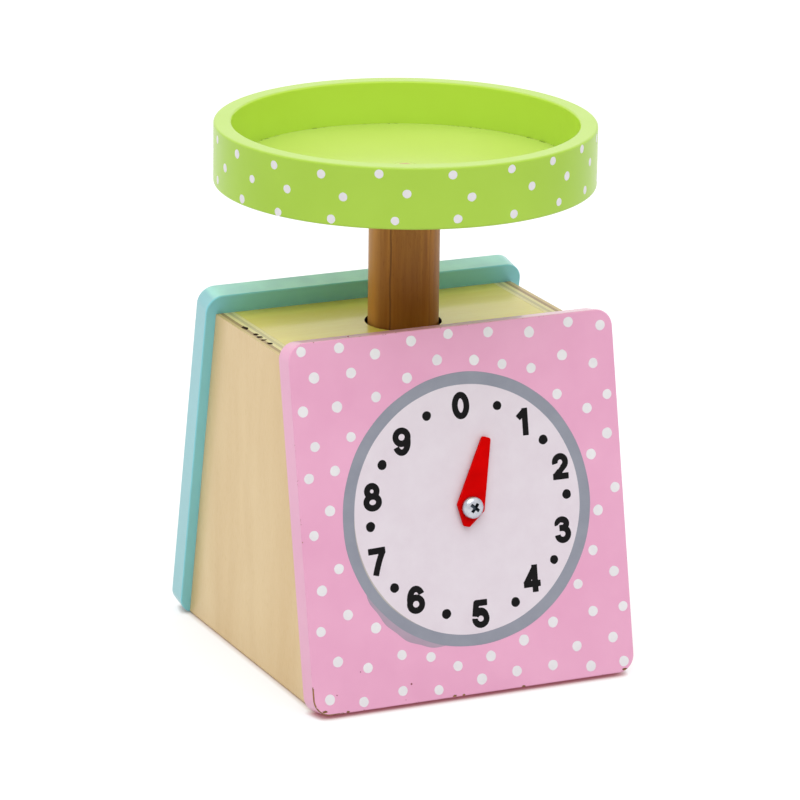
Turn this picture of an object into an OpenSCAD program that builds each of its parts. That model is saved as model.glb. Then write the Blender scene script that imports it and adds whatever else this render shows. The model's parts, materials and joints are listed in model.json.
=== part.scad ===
// Wooden toy kitchen scale: a tray on a sprung post over a plywood box with a turning dial pointer.
// The origin is on the floor, under the post's axis. +Z is up and the dial faces -Y.

/* [Boards] */
// Width of the front and back boards
board_w = 123; // [115:1:140]
// Length of the front and back boards, up their slope
board_l = 128.4; // [126:0.1:140]
// Thickness of the front and back boards
board_t = 9; // [7:0.5:12]
// Lean of the front and back boards from upright, in degrees
board_lean = 11.4; // [8:0.1:13]
// Distance between the two boards' outer faces at their lower ends
base_depth = 130.1; // [122:0.1:140]
// Radius of the boards' corners
board_corner_r = 6.2; // [4:0.1:12]
// Radius of the boards' rounded edges
board_edge_r = 0.5; // [0.3:0.1:2]
// Depth planed off the edges that the boards stand on
foot_flat = 0.2; // [0.1:0.05:0.5]

/* [Box] */
// Thickness of the plywood sides
side_t = 7; // [6:0.5:9]
// Distance from the boards' edges to the sides' outer faces
side_inset = 3.8; // [1:0.1:6]
// Height of the sides' undersides above the floor
side_lift = 0.7; // [0:0.1:3]
// Height of the box's top surface above the floor
box_h = 118.9; // [112:0.1:121]
// Thickness of the box's top
top_t = 9; // [6:0.5:12]
// Thickness of the box's bottom
bottom_t = 9; // [6:0.5:12]
// Height of the bottom's underside above the floor
bottom_lift = 3; // [1:0.5:6]
// Width of a glued seam
glue_line = 0.05; // [0.02:0.01:0.15]

/* [Pegs] */
// Diameter of the glue pegs that join the boards to the sides
peg_d = 4; // [3:0.5:5]
// Length of a glue peg
peg_l = 14; // [10:1:20]
// Depth of a peg in the front or back board
peg_in_board = 6; // [4:0.5:6.5]
// Distance up the slope to the lower pegs
peg_low = 25; // [15:1:45]
// Distance up the slope to the upper pegs
peg_high = 98; // [70:1:105]
// Radial gap round a peg, pin or plug in its hole
peg_fit = 0.05; // [0.02:0.01:0.15]
// Gap at a peg's ends
peg_end_gap = 0.5; // [0.2:0.1:1]

/* [Tray] */
// Outer diameter of the tray
tray_d = 133.5; // [110:0.5:160]
// Height of the tray's rim
tray_h = 21.5; // [14:0.1:30]
// Thickness of the tray's rim
tray_wall = 6.2; // [5:0.1:10]
// Thickness of the tray's floor
tray_floor_t = 6; // [5:0.1:9]
// Height of the tray's underside above the floor
tray_z = 169.3; // [155:0.1:185]
// Radius of the rim's rounded edges
tray_edge_r = 0.8; // [0.3:0.1:1.5]

/* [Post] */
// Diameter of the post
post_d = 25; // [20:0.5:28]
// Diameter of the hole in the box's top
post_hole_d = 27.2; // [25.5:0.1:34]
// Distance that the tray can be pressed down
press_travel = 15; // [5:1:20]
// Diameter of the pin that keeps the post in the box
pin_d = 6; // [4:0.5:8]
// Length of that pin
pin_l = 42; // [36:1:50]
// Gap between the pin and what stops it
stop_gap = 0.3; // [0.1:0.1:0.6]

/* [Guide and spring] */
// Width of the square guide block
guide_w = 45; // [42:1:56]
// Length of post that runs in the guide block at rest
guide_engaged = 30; // [20:1:36]
// Radial gap between the post and its guide
guide_gap = 0.3; // [0.1:0.05:0.6]
// Outer diameter of the spring
spring_d = 22; // [16:0.5:24]
// Diameter of the spring's wire
spring_wire = 1.3; // [1:0.1:2]
// Number of turns in the spring
spring_turns = 9; // [6:1:10]
// Gap between the closed turns at each end of the spring
spring_end_gap = 0.5; // [0.45:0.05:0.8]
// Outer diameter of the washer under the post
spring_washer_d = 23; // [18:0.5:24]
// Thickness of that washer
spring_washer_t = 1; // [0.5:0.1:2]
// Diameter of that washer's hole
spring_washer_hole_d = 9; // [5:0.5:12]
// Gap in which the post turns on its washer
spin_gap = 0.1; // [0.05:0.05:0.3]

/* [Wood screws] */
// Shank diameter of the wood screws
wood_screw_d = 3.5; // [3:0.5:4]
// Head diameter of the wood screws
wood_screw_head_d = 7; // [6:0.5:8]
// Height of a wood screw's countersunk head
wood_screw_head_h = 2.2; // [1.5:0.1:2.6]
// Length of the screws that hold the guide block
guide_screw_l = 25; // [18:1:35]
// Length of the screw that holds the tray
tray_screw_l = 35; // [25:1:45]
// Distance from the guide block's faces to its screws
guide_screw_inset = 6; // [5:0.5:8]
// Thickness of the plug over the tray's screw
plug_t = 1.6; // [1:0.1:2]
// Radial gap round a screw in its hole
screw_fit = 0.08; // [0.02:0.01:0.2]

/* [Pointer] */
// Distance of the pointer's pivot from the board's middle line
pivot_x = 1.8; // [-5:0.1:5]
// Distance of the pointer's pivot up the slope
pivot_up = 65.4; // [55:0.1:75]
// Length of the pointer from its pivot to its tip
pointer_tip = 24.8; // [18:0.1:34]
// Length of the pointer from its pivot to its tail
pointer_tail = 6.9; // [6:0.1:12]
// Width of the pointer at its pivot
pointer_w = 10.4; // [9:0.1:14]
// Width of the pointer's tip
pointer_tip_w = 3.5; // [2:0.1:5]
// Width of the pointer's tail
pointer_tail_w = 3; // [2:0.1:5]
// Thickness of the pointer
pointer_t = 1.5; // [1:0.1:3]
// Radius of the pointer's corners
pointer_corner_r = 1; // [0.3:0.1:1]
// Clockwise angle at which the pointer rests, in degrees
pointer_angle = 18; // [0:0.5:359]
// Gap on each face of the pointer, in which it turns
pointer_play = 0.1; // [0.05:0.05:0.2]
// Radial gap between the pointer and its screw
pointer_fit = 0.08; // [0.03:0.01:0.1]

/* [Pointer screw] */
// Diameter of the pointer's screw
screw_d = 4; // [3:0.5:5]
// Diameter of its pan head
screw_head_d = 7.8; // [6.5:0.1:9]
// Height of its pan head
screw_head_h = 3; // [2:0.1:4]
// Height of the straight wall round its pan head
screw_head_wall = 1.3; // [0.8:0.1:1.8]
// Width of an arm of the head's cross recess
recess_w = 0.9; // [0.6:0.1:1.2]
// Length across the head's cross recess
recess_l = 4.6; // [3:0.1:5]
// Depth of the head's cross recess
recess_depth = 1.6; // [1:0.1:1.8]
// Thickness of the washer between the pointer and the board
spacer_t = 0.5; // [0.3:0.1:1]
// Outer diameter of that washer
spacer_d = 8; // [7:0.5:9]
// Thickness of the washer behind the board
nut_washer_t = 0.8; // [0.5:0.1:1.5]
// Outer diameter of the washer behind the board
nut_washer_d = 9; // [8:0.5:12]
// Width of the nut across its flats
nut_w = 7; // [6:0.5:8]
// Height of the nut
nut_h = 3.2; // [2.4:0.1:5]
// Length of screw that shows past the nut
screw_end = 1; // [0.3:0.1:3]

/* [Hidden] */

$fn = 96;
// Facets round a hull's own rounds
hull_fn = 32;
// Straight steps in a quarter of a rounded edge
edge_steps = 5;
// Length by which a cut passes a face
cut_over = 1;
// Rings in one turn of the spring, and sides of its wire
turn_rings = 8;
wire_sides = 6;

// Height of the boards' outer lower ends: they lean, and stand on their inner lower edges
board_rise = board_t * sin(board_lean) - board_edge_r * (sin(board_lean) + cos(board_lean) - 1) - foot_flat;

// Box
side_x = board_w / 2 - side_inset - side_t;
bottom_top = bottom_lift + bottom_t;
top_under = box_h - top_t;
peg_x = side_x + side_t / 2;

// Post and its stops
pin_z = top_under - stop_gap - pin_d / 2;
guide_top = pin_z - pin_d / 2 - press_travel - stop_gap;
post_foot = guide_top - guide_engaged;
washer_top = post_foot - spin_gap;

// Spring
spring_l = washer_top - spring_washer_t - bottom_top;
spring_r = (spring_d - spring_wire) / 2;
end_pitch = spring_wire + spring_end_gap;
mid_pitch = (spring_l - spring_wire - 2 * end_pitch) / (spring_turns - 2);

// Tray
tray_floor_d = tray_d - 2 * tray_wall - 2 * glue_line;
tray_floor_top = tray_z + tray_floor_t;
tray_screw_top = tray_floor_top - plug_t;
guide_screw_x = guide_w / 2 - guide_screw_inset;

// Pointer stack, measured outward from the front board's face
pointer_back = spacer_t + pointer_play;
pointer_front = pointer_back + pointer_t;
head_under = pointer_front + pointer_play;
shank_l = head_under + board_t + nut_washer_t + nut_h + screw_end;
screw_hole_d = screw_d + 2 * pointer_fit;

// Colours
pink = [0.90, 0.66, 0.77];
mint = [0.55, 0.78, 0.76];
green = [0.66, 0.85, 0.30];
birch = [0.87, 0.78, 0.60];
beech = [0.80, 0.66, 0.46];
brown = [0.52, 0.34, 0.18];
red = [0.80, 0.02, 0.02];
steel = [0.72, 0.73, 0.75];

// Distance from the middle of the box to a board's inner face, at height z
function inner_y(z) = base_depth / 2 - (board_t + glue_line) / cos(board_lean)
    - (z - board_rise) * tan(board_lean);

// Outline of half a disc with rounded rims, from its axis outward
function disc_outline(r, h, e) = concat(
    [[0, 0]],
    [for (i = [0 : edge_steps]) [r - e + e * sin(90 * i / edge_steps), e - e * cos(90 * i / edge_steps)]],
    [for (i = [0 : edge_steps]) [r - e + e * cos(90 * i / edge_steps), h - e + e * sin(90 * i / edge_steps)]],
    [[0, h]]
);

// Outline of a ring's section with four rounded corners
function ring_outline(r_in, r_out, h, e) = [
    for (c = [[r_out - e, e, -90], [r_out - e, h - e, 0], [r_in + e, h - e, 90], [r_in + e, e, 180]])
        for (i = [0 : edge_steps])
            [c[0] + e * cos(c[2] + 90 * i / edge_steps), c[1] + e * sin(c[2] + 90 * i / edge_steps)]
];

// Height of the spring's wire after t turns: close at both ends, open between them
function spring_z(t) = bottom_top + spring_wire / 2
    + end_pitch * min(t, 1)
    + mid_pitch * min(max(t - 1, 0), spring_turns - 2)
    + end_pitch * max(t - spring_turns + 1, 0);
function spring_point(t) = [spring_r * cos(360 * t), spring_r * sin(360 * t), spring_z(t)];

// Places children on the front board: x across it, y into it from its face, z up its slope
module on_front() {
    translate([0, -base_depth / 2, board_rise])
        rotate([-board_lean, 0, 0])
            children();
}

// Places children at the pointer's pivot, with z outward from the front board's face
module on_pivot() {
    on_front()
        translate([pivot_x, 0, pivot_up])
            rotate([90, 0, 0])
                children();
}

module above_floor() {
    intersection() {
        children();
        translate([-board_w, -base_depth, 0])
            cube([2 * board_w, 2 * base_depth, 2 * board_l]);
    }
}

module board_blank() {
    hull()
        for (x = [-1, 1], z = [board_corner_r, board_l - board_corner_r])
            translate([x * (board_w / 2 - board_corner_r), 0, z])
                rotate([-90, 0, 0])
                    rotate_extrude($fn = hull_fn)
                        polygon(disc_outline(board_corner_r, board_t, board_edge_r));
}

// The four pegs of one board, or their holes when grown by a gap
module pegs(gap, end_gap) {
    for (x = [-peg_x, peg_x], up = [peg_low, peg_high])
        on_front()
            translate([x, board_t - peg_in_board - end_gap, up])
                rotate([-90, 0, 0])
                    cylinder(d = peg_d + 2 * gap, h = peg_l + 2 * end_gap);
}

module board_shell() {
    difference() {
        above_floor()
            on_front()
                board_blank();
        pegs(peg_fit, peg_end_gap);
    }
}

module front_board() {
    color(pink)
        difference() {
            board_shell();
            on_pivot()
                translate([0, 0, -board_t - cut_over])
                    cylinder(d = screw_hole_d, h = board_t + 2 * cut_over);
        }
}

module back_board() {
    color(mint)
        mirror([0, 1, 0])
            board_shell();
}

// A slab across the box between two heights, its ends cut to the boards' lean
module leaning_slab(z0, z1, x0, x1) {
    translate([x0, 0, 0])
        rotate([90, 0, 90])
            linear_extrude(x1 - x0)
                polygon([
                    [-inner_y(z0), z0], [inner_y(z0), z0],
                    [inner_y(z1), z1], [-inner_y(z1), z1]
                ]);
}

module side() {
    color(birch)
        difference() {
            leaning_slab(side_lift, box_h, side_x, side_x + side_t);
            pegs(peg_fit, peg_end_gap);
            mirror([0, 1, 0])
                pegs(peg_fit, peg_end_gap);
        }
}

module right_side() {
    side();
}

module left_side() {
    mirror([1, 0, 0])
        side();
}

module top_board() {
    color(birch)
        difference() {
            leaning_slab(top_under, box_h, -side_x + glue_line, side_x - glue_line);
            translate([0, 0, top_under - cut_over])
                cylinder(d = post_hole_d, h = top_t + 2 * cut_over);
        }
}

module bottom_board() {
    color(birch)
        difference() {
            leaning_slab(bottom_lift, bottom_top, -side_x + glue_line, side_x - glue_line);
            guide_screw_set(screw_fit);
        }
}

module front_pegs() {
    color(beech)
        pegs(0, 0);
}

module back_pegs() {
    color(beech)
        mirror([0, 1, 0])
            pegs(0, 0);
}

// A countersunk screw from the top of its head down, or its hole when grown by a gap
module wood_screw(length, gap) {
    shank_d = wood_screw_d + 2 * gap;
    head_d = wood_screw_head_d + 2 * gap;
    tip_h = wood_screw_d;
    translate([0, 0, -wood_screw_head_h - gap])
        cylinder(d1 = shank_d, d2 = head_d, h = wood_screw_head_h + gap);
    translate([0, 0, -length + tip_h])
        cylinder(d = shank_d, h = length - tip_h - wood_screw_head_h);
    translate([0, 0, -length - gap])
        cylinder(d1 = 2 * gap, d2 = shank_d, h = tip_h + gap);
    if (gap > 0)
        cylinder(d = head_d, h = cut_over);
}

module guide_screw_set(gap) {
    for (x = [-1, 1], y = [-1, 1])
        translate([x * guide_screw_x, y * guide_screw_x, bottom_lift])
            rotate([180, 0, 0])
                wood_screw(guide_screw_l, gap);
}

module guide_block() {
    color(beech)
        difference() {
            translate([-guide_w / 2, -guide_w / 2, bottom_top])
                cube([guide_w, guide_w, guide_top - bottom_top]);
            translate([0, 0, bottom_top - cut_over])
                cylinder(d = post_d + 2 * guide_gap, h = guide_top - bottom_top + 2 * cut_over);
            guide_screw_set(screw_fit);
        }
}

module guide_screws() {
    color(steel)
        guide_screw_set(0);
}

module spring() {
    last = turn_rings * spring_turns;
    // Smallest gap between one turn and the next, measured on the wire's own points
    echo(spring_least_gap = min([
        for (i = [0 : last - turn_rings])
            norm(spring_point(i / turn_rings + 1) - spring_point(i / turn_rings)) - spring_wire
    ]));
    points = [
        for (i = [0 : last])
            let (a = 360 * i / turn_rings)
            for (k = [0 : wire_sides - 1])
                let (b = 360 * k / wire_sides + 30)
                spring_point(i / turn_rings)
                    + spring_wire / 2 * [cos(b) * cos(a), cos(b) * sin(a), sin(b)]
    ];
    walls = [
        for (i = [0 : last - 1], k = [0 : wire_sides - 1])
            let (m = (k + 1) % wire_sides, p = i * wire_sides, q = p + wire_sides)
            each [[p + k, p + m, q + m], [p + k, q + m, q + k]]
    ];
    far_end = last * wire_sides;
    ends = [
        for (k = [1 : wire_sides - 2])
            each [[0, k + 1, k], [far_end, far_end + k, far_end + k + 1]]
    ];
    color(steel)
        polyhedron(points, concat(walls, ends));
}

module spring_washer() {
    color(steel)
        translate([0, 0, washer_top - spring_washer_t])
            difference() {
                cylinder(d = spring_washer_d, h = spring_washer_t);
                translate([0, 0, -cut_over])
                    cylinder(d = spring_washer_hole_d, h = spring_washer_t + 2 * cut_over);
            }
}

module cross_pin(gap, end_gap) {
    translate([-pin_l / 2 - end_gap, 0, pin_z])
        rotate([0, 90, 0])
            cylinder(d = pin_d + 2 * gap, h = pin_l + 2 * end_gap);
}

module tray_fixing(gap) {
    translate([0, 0, tray_screw_top])
        wood_screw(tray_screw_l, gap);
}

module post() {
    color(brown)
        difference() {
            translate([0, 0, post_foot])
                cylinder(d = post_d, h = tray_z - glue_line - post_foot);
            cross_pin(peg_fit, cut_over);
            tray_fixing(screw_fit);
        }
}

module retaining_pin() {
    color(beech)
        cross_pin(0, 0);
}

module tray_rim() {
    color(green)
        translate([0, 0, tray_z])
            rotate_extrude()
                polygon(ring_outline(tray_d / 2 - tray_wall, tray_d / 2, tray_h, tray_edge_r));
}

module tray_floor() {
    color(green)
        difference() {
            translate([0, 0, tray_z])
                cylinder(d = tray_floor_d, h = tray_floor_t);
            tray_fixing(screw_fit);
            translate([0, 0, tray_screw_top])
                cylinder(d = wood_screw_head_d + 2 * screw_fit, h = plug_t + cut_over);
        }
}

module tray_screw() {
    color(steel)
        tray_fixing(0);
}

module screw_plug() {
    color(green)
        translate([0, 0, tray_screw_top])
            cylinder(d = wood_screw_head_d, h = plug_t);
}

module pointer() {
    // Distance up the pointer and width there, at its tail, its pivot and its tip
    stations = [
        [-pointer_tail + pointer_corner_r, pointer_tail_w],
        [0, pointer_w],
        [pointer_tip - pointer_corner_r, pointer_tip_w]
    ];
    color(red)
        on_pivot()
            difference() {
                rotate([0, 0, -pointer_angle])
                    hull()
                        for (s = stations, x = [-1, 1])
                            translate([x * (s[1] / 2 - pointer_corner_r), s[0], pointer_back])
                                cylinder(r = pointer_corner_r, h = pointer_t, $fn = hull_fn);
                cylinder(d = screw_hole_d, h = pointer_front + cut_over);
            }
}

// A flat washer with a hole that clears the pointer's screw
module screw_washer(d, t) {
    difference() {
        cylinder(d = d, h = t);
        translate([0, 0, -cut_over])
            cylinder(d = screw_hole_d, h = t + 2 * cut_over);
    }
}

module pointer_spacer() {
    color(steel)
        on_pivot()
            screw_washer(spacer_d, spacer_t);
}

module pan_head() {
    dome_rise = screw_head_h - screw_head_wall;
    dome_r = (pow(screw_head_d / 2, 2) + pow(dome_rise, 2)) / (2 * dome_rise);
    difference() {
        intersection() {
            cylinder(d = screw_head_d, h = screw_head_h);
            translate([0, 0, screw_head_h - dome_r])
                sphere(r = dome_r);
        }
        for (turn = [0, 90])
            rotate([0, 0, turn])
                translate([-recess_l / 2, -recess_w / 2, screw_head_h - recess_depth])
                    cube([recess_l, recess_w, recess_depth + cut_over]);
    }
}

module pointer_screw() {
    color(steel)
        on_pivot()
            translate([0, 0, head_under]) {
                pan_head();
                translate([0, 0, -shank_l])
                    cylinder(d = screw_d, h = shank_l);
            }
}

module nut_washer() {
    color(steel)
        on_pivot()
            translate([0, 0, -board_t - nut_washer_t])
                screw_washer(nut_washer_d, nut_washer_t);
}

module pointer_nut() {
    color(steel)
        on_pivot()
            translate([0, 0, -board_t - nut_washer_t - nut_h])
                difference() {
                    cylinder(d = nut_w / cos(30), h = nut_h, $fn = 6);
                    translate([0, 0, -cut_over])
                        cylinder(d = screw_d + 2 * screw_fit, h = nut_h + 2 * cut_over);
                }
}

front_board();
back_board();
left_side();
right_side();
top_board();
bottom_board();
front_pegs();
back_pegs();
guide_block();
guide_screws();
spring();
spring_washer();
post();
retaining_pin();
tray_rim();
tray_floor();
tray_screw();
screw_plug();
pointer();
pointer_spacer();
pointer_screw();
nut_washer();
pointer_nut();
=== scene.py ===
import json
import random
from math import atan2, cos, pi, radians, sin, sqrt, tau

import bmesh
import bpy
import numpy as np
from mathutils import Matrix, Vector
from mathutils.bvhtree import BVHTree

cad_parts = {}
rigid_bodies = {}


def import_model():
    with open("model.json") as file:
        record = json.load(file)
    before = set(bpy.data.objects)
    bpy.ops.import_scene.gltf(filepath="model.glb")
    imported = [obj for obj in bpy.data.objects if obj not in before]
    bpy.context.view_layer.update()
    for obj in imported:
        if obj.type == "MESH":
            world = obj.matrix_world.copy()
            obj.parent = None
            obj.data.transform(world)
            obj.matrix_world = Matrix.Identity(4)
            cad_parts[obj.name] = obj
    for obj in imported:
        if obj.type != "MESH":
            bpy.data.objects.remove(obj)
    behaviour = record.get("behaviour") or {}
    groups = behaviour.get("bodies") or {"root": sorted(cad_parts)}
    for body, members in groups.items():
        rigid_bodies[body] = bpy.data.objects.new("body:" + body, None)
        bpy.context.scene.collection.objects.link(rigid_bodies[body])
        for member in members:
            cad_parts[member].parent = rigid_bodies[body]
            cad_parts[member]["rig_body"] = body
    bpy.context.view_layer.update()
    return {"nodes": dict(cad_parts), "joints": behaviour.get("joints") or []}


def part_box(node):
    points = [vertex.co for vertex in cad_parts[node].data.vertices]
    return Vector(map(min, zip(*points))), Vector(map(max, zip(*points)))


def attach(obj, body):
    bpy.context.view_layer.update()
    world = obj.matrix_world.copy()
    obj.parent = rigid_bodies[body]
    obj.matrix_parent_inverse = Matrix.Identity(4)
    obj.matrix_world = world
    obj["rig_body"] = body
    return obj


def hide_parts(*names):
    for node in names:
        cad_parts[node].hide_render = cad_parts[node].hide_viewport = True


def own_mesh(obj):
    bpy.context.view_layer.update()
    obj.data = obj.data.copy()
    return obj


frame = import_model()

MM = 0.001

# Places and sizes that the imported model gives
nodes = frame["nodes"]
joints = {joint["name"]: joint for joint in frame["joints"]}
ACROSS = Vector((1, 0, 0))
FACE_OUT = Vector(joints["pointer_turn"]["axis"])
PIVOT = Vector(joints["pointer_turn"]["pos_m"])
UPHILL = FACE_OUT.cross(ACROSS)
LEAN = atan2(UPHILL.y, UPHILL.z)
BOARD_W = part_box("front_board")[1].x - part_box("front_board")[0].x
SIDE_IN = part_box("right_side")[0].x
SIDE_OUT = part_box("right_side")[1].x
BOX_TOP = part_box("left_side")[1].z
TRAY_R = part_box("tray_rim")[1].x
TRAY_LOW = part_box("tray_rim")[0].z
TRAY_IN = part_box("tray_floor")[1].x

# Board sizes as in the part's source
BOARD_L = 128.4 * MM
BOARD_T = 9 * MM
BOARD_CORNER_R = 6.2 * MM
BOARD_EDGE_R = 0.5 * MM
PIVOT_UP = 65.4 * MM
FOOT = PIVOT - UPHILL * PIVOT_UP - ACROSS * PIVOT.x

# Camera: the photograph's view, set from the object's own edges
PHOTO_PX = 800
FOCAL_PX = 4933
SENSOR_MM = 36
CAMERA_YAW = radians(-24.97)
CAMERA_PITCH = radians(16.83)
CAMERA_ROLL = radians(0.782)
CAMERA_FAR = 1.740
CAMERA_AIM_Z = 89.68 * MM
CAMERA_AIM_SIDE = -0.70 * MM

# Dial, in metres on the front board's face
DIAL_X = 1.26 * MM
DIAL_UP = 64.53 * MM
DIAL_RING_R = 47.4 * MM
DIAL_FACE_R = 43.2 * MM
DIAL_WIDE = 0.994
DIAL_TALL = 1.006
DIAL_DOT_R = 1.75 * MM
NUMERAL_STROKE_R = 1.12

# Thickness of each print, counted from the board's paint, and how far a print sinks into it
DOT_FILM = 0.03 * MM
OVERPRINT_FILM = 0.04 * MM
RING_FILM = 0.05 * MM
LINE_FILM = 0.055 * MM
FACE_FILM = 0.06 * MM
INK_FILM = 0.08 * MM
FILM_SINK = 0.02 * MM

# Pixels of the photograph where numerals 0 to 9 and the dial's dots have their middles
NUMERAL_PIXELS = [
    (460.5, 405.5), (523, 421.5), (560, 466.5), (562.5, 529.5), (532, 578.5),
    (481, 613.5), (416, 600), (377, 561.5), (372.5, 497), (401.5, 441.5),
]
DIAL_DOT_PIXELS = [
    (497, 405.5), (543, 439.5), (566.5, 494), (554, 559.5), (515.5, 602),
    (446.5, 614), (394.5, 588), (370.5, 527), (382, 465), (426.5, 416),
]
# Ends of the second print outside the ring, and of the bare line inside it
OVERPRINT_PIXELS = [(366, 594), (447, 648)]
LINE_PIXELS = [(353, 520), (425, 627)]

# Pixels of the white dots on the front board, row by row
FRONT_DOT_PIXELS = [
    (301, 352), (339, 348), (375, 354), (411, 341), (448, 334), (488, 332), (529, 332), (568, 322),
    (600, 325), (314, 378), (351, 373), (407, 378), (437, 360), (474, 360), (502, 364), (531, 368),
    (562, 355), (593, 363), (303, 412), (337, 407), (376, 397), (557, 394), (587, 408), (607, 394),
    (315, 447), (351, 437), (607, 433), (591, 454), (309, 479), (335, 471), (615, 487), (330, 511),
    (314, 536), (598, 510), (593, 550), (339, 569), (322, 591), (614, 571), (578, 584), (348, 615),
    (623, 606), (593, 611), (321, 632), (376, 628), (553, 622), (524, 640), (613, 637), (338, 662),
    (368, 668), (402, 655), (431, 657), (458, 666), (491, 656), (577, 646), (330, 700), (364, 702),
    (403, 691), (439, 690), (482, 679), (517, 671), (553, 665), (591, 666), (624, 661),
]
FRONT_DOT_R = 1.85 * MM
# Pixels of specks in the front board's paint
SPECK_PIXELS = [
    (411.5, 684, 0.34), (337, 695.5, 0.24), (360.5, 672, 0.2), (406, 700, 0.16), (348, 336.5, 0.3),
]

# Pixels of the white dots on the tray's wall, three rows from the lowest
TRAY_DOT_PIXELS = [
    [(242, 199), (278, 212), (331, 219), (395, 221), (458, 219), (514, 214), (559, 202), (585, 190)],
    [(225, 168), (252, 179), (287, 189), (343, 197), (407, 194), (472, 197), (532, 186), (567, 176),
     (590, 162)],
    [(237, 154), (274, 165), (321, 174), (379, 174), (453, 175), (512, 169), (553, 161), (582, 149)],
]
TRAY_DOT_R = 1.5 * MM
TRAY_DOT_SEED = 8

# Pixels of open core gaps on the left side's top edge, with their lengths
CORE_GAP_PIXELS = [
    (245, 328, 4.5), (256, 334.5, 2.4), (260, 337, 2.2), (264, 340, 1.4), (270, 343.5, 2.8),
]
# Pixels of chips in the front board's lower edge, with their lengths
CHIP_PIXELS = [
    (325, 712, 2.2), (348, 713, 1.4), (455, 696, 1.5), (464, 695, 1.0), (524, 687, 1.4), (625, 669, 2.2),
]


def srgb(red, green, blue):
    """A colour written as on a screen, from 0 to 255, in the linear values that Blender takes."""
    def linear(value):
        value = value / 255
        return value / 12.92 if value <= 0.04045 else ((value + 0.055) / 1.055) ** 2.4
    return (linear(red), linear(green), linear(blue), 1.0)


# Camera axes and rays
def camera_axes():
    back = Vector((
        sin(CAMERA_YAW) * cos(CAMERA_PITCH),
        -cos(CAMERA_YAW) * cos(CAMERA_PITCH),
        sin(CAMERA_PITCH),
    ))
    level = Vector((cos(CAMERA_YAW), sin(CAMERA_YAW), 0))
    above = back.cross(level)
    right = level * cos(CAMERA_ROLL) + above * sin(CAMERA_ROLL)
    up = above * cos(CAMERA_ROLL) - level * sin(CAMERA_ROLL)
    return right, up, back


view_right, view_up, view_back = camera_axes()
camera_at = Vector((0, 0, CAMERA_AIM_Z)) + view_right * CAMERA_AIM_SIDE + view_back * CAMERA_FAR


def linked(name, data):
    """A new object in the scene."""
    made = bpy.data.objects.new(name, data)
    bpy.context.scene.collection.objects.link(made)
    return made


def make_camera():
    data = bpy.data.cameras.new("camera")
    data.sensor_width = SENSOR_MM
    data.lens = SENSOR_MM * FOCAL_PX / PHOTO_PX
    camera = linked("camera", data)
    turn = Matrix((view_right, view_up, view_back)).transposed().to_4x4()
    camera.matrix_world = Matrix.Translation(camera_at) @ turn
    bpy.context.scene.camera = camera


def photo_ray(u, v):
    """Direction from the camera through a pixel of the photograph."""
    middle = PHOTO_PX / 2
    ray = view_right * (u - middle) / FOCAL_PX - view_up * (v - middle) / FOCAL_PX - view_back
    return ray.normalized()


def front_place(u, v):
    """Metres across and uphill where a pixel falls on the front board's face."""
    ray = photo_ray(u, v)
    reach = (PIVOT - camera_at).dot(FACE_OUT) / ray.dot(FACE_OUT)
    hit = camera_at + ray * reach - FOOT
    return hit.dot(ACROSS), hit.dot(UPHILL)


def tray_place(u, v):
    """Angle round the tray and height where a pixel falls on its outer wall."""
    ray = photo_ray(u, v)
    a = ray.x ** 2 + ray.y ** 2
    b = camera_at.x * ray.x + camera_at.y * ray.y
    c = camera_at.x ** 2 + camera_at.y ** 2 - TRAY_R ** 2
    reach = (-b - sqrt(max(b * b - a * c, 0))) / a
    hit = camera_at + ray * reach
    facing = atan2(view_back.y, view_back.x)
    aside = (atan2(hit.y, hit.x) - facing + pi) % tau - pi
    return facing + aside, hit.z


def dial_angle(u, v):
    """Angle of a pixel round the dial, clockwise from its top."""
    x, up = front_place(u, v)
    return atan2(x - DIAL_X, up - DIAL_UP) % tau


# Nodes of materials, floor and world
class Value:
    """A number that a node gives, which takes part in sums as a plain number does."""

    def __init__(self, maker, socket):
        self.maker = maker
        self.socket = socket

    def __add__(self, other):
        return self.maker.math("ADD", self, other)

    def __sub__(self, other):
        return self.maker.math("SUBTRACT", self, other)

    def __rsub__(self, other):
        return self.maker.math("SUBTRACT", other, self)

    def __mul__(self, other):
        return self.maker.math("MULTIPLY", self, other)

    def __abs__(self):
        return self.maker.math("ABSOLUTE", self)


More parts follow.
